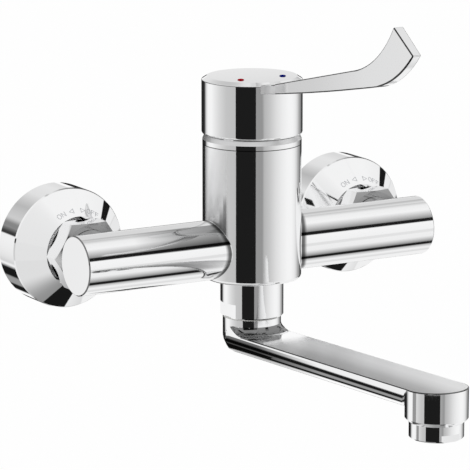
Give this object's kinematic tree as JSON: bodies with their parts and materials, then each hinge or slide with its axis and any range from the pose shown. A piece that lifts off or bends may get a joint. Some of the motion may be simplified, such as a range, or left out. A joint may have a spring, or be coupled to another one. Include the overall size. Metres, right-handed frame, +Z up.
{
  "type": "elbow lever tap",
  "caption": "Wall-mounted mixer tap with a long elbow lever, a round column on level arms, and a flat-topped swivel spout below.",
  "frame": {"origin": "on the wall's surface, midway between the two water inlets", "axes": "+X right along the arms, +Y into the wall, +Z up"},
  "size_m": [0.2052, 0.2322, 0.1698],
  "materials": {
    "chrome_plate": "mirror-polished chrome plate on cast brass",
    "bare_brass": "turned, unplated",
    "stainless_steel": "turned or drawn",
    "black_rubber": "moulded, matt",
    "white_plastic": "moulded, matt",
    "ceramic": "lapped white ceramic",
    "red_insert": "gloss",
    "blue_insert": "gloss"
  },
  "bodies": {
    "body": {"arm_plug_left": "chrome_plate", "arm_plug_right": "chrome_plate", "body": "chrome_plate", "cartridge_base": "white_plastic", "cartridge_housing": "white_plastic", "cartridge_nut": "bare_brass", "cartridge_seals": "black_rubber", "check_spring_left": "stainless_steel", "check_spring_right": "stainless_steel", "check_valve_left": "white_plastic", "check_valve_right": "white_plastic", "connector_ring": "black_rubber", "fixed_disc": "ceramic", "inlet_filter_left": "black_rubber", "inlet_filter_right": "black_rubber", "inlet_nut_left": "chrome_plate", "inlet_nut_right": "chrome_plate", "inlet_tail_left": "chrome_plate", "inlet_tail_right": "chrome_plate", "rose_ring_left": "black_rubber", "rose_ring_right": "black_rubber", "shroud_ring": "chrome_plate", "spout_connector": "chrome_plate", "spout_washer": "white_plastic", "wall_union_left": "chrome_plate", "wall_union_right": "chrome_plate"},
    "rose_left": {"rose_left": "chrome_plate", "stop_rotor_left": "bare_brass", "stop_pin_left": "stainless_steel"},
    "rose_right": {"rose_right": "chrome_plate", "stop_rotor_right": "bare_brass", "stop_pin_right": "stainless_steel"},
    "poppet_left": {"check_poppet_left": "white_plastic"},
    "poppet_right": {"check_poppet_right": "white_plastic"},
    "cartridge_rotor": {"cartridge_rotor": "white_plastic", "pivot_pin": "stainless_steel"},
    "lever": {"handle": "chrome_plate", "handle_screw": "stainless_steel", "hot_marker": "red_insert", "cold_marker": "blue_insert", "cartridge_stem": "stainless_steel"},
    "mixing_disc": {"moving_disc": "ceramic", "disc_carrier": "white_plastic"},
    "spout": {"spout": "chrome_plate", "spout_rings": "black_rubber", "spout_circlip": "stainless_steel", "aerator_housing": "chrome_plate", "aerator_insert": "white_plastic", "aerator_gasket": "black_rubber"}
  },
  "joints": [
    {"name": "temperature_turn", "type": "hinge", "parent": "body", "child": "cartridge_rotor", "pos_m": [0, -0.0515, 0.04], "axis": [0, 0, 1], "range_deg": [-50, 50]},
    {"name": "lever_lift", "type": "hinge", "parent": "cartridge_rotor", "child": "lever", "pos_m": [0, -0.0515, 0.041], "axis": [-1, 0, 0], "range_deg": [0, 22]},
    {"name": "disc_slide", "type": "slide", "parent": "cartridge_rotor", "child": "mixing_disc", "axis": [0, -1, 0], "range_m": [-0.0001, 0.0049]},
    {"name": "spout_swivel", "type": "hinge", "parent": "body", "child": "spout", "pos_m": [0, -0.0515, -0.025], "axis": [0, 0, 1], "range_deg": [-75, 75]},
    {"name": "wall_plate_left_turn", "type": "hinge", "parent": "body", "child": "rose_left", "pos_m": [-0.075, -0.0135, 0], "axis": [0, 1, 0], "range_deg": [0, 90]},
    {"name": "wall_plate_right_turn", "type": "hinge", "parent": "body", "child": "rose_right", "pos_m": [0.075, -0.0135, 0], "axis": [0, 1, 0], "range_deg": [0, 90]},
    {"name": "non_return_left", "type": "slide", "parent": "body", "child": "poppet_left", "axis": [0, -1, 0], "range_m": [0, 0.002], "stiffness_N_per_m": 80, "springref_m": -0.002, "deforming": ["check_spring_left"]},
    {"name": "non_return_right", "type": "slide", "parent": "body", "child": "poppet_right", "axis": [0, -1, 0], "range_m": [0, 0.002], "stiffness_N_per_m": 80, "springref_m": -0.002, "deforming": ["check_spring_right"]}
  ],
  "couplings": [
    {"joint": "disc_slide", "follows": "lever_lift", "m_per_rad": 0.012487}
  ]
}
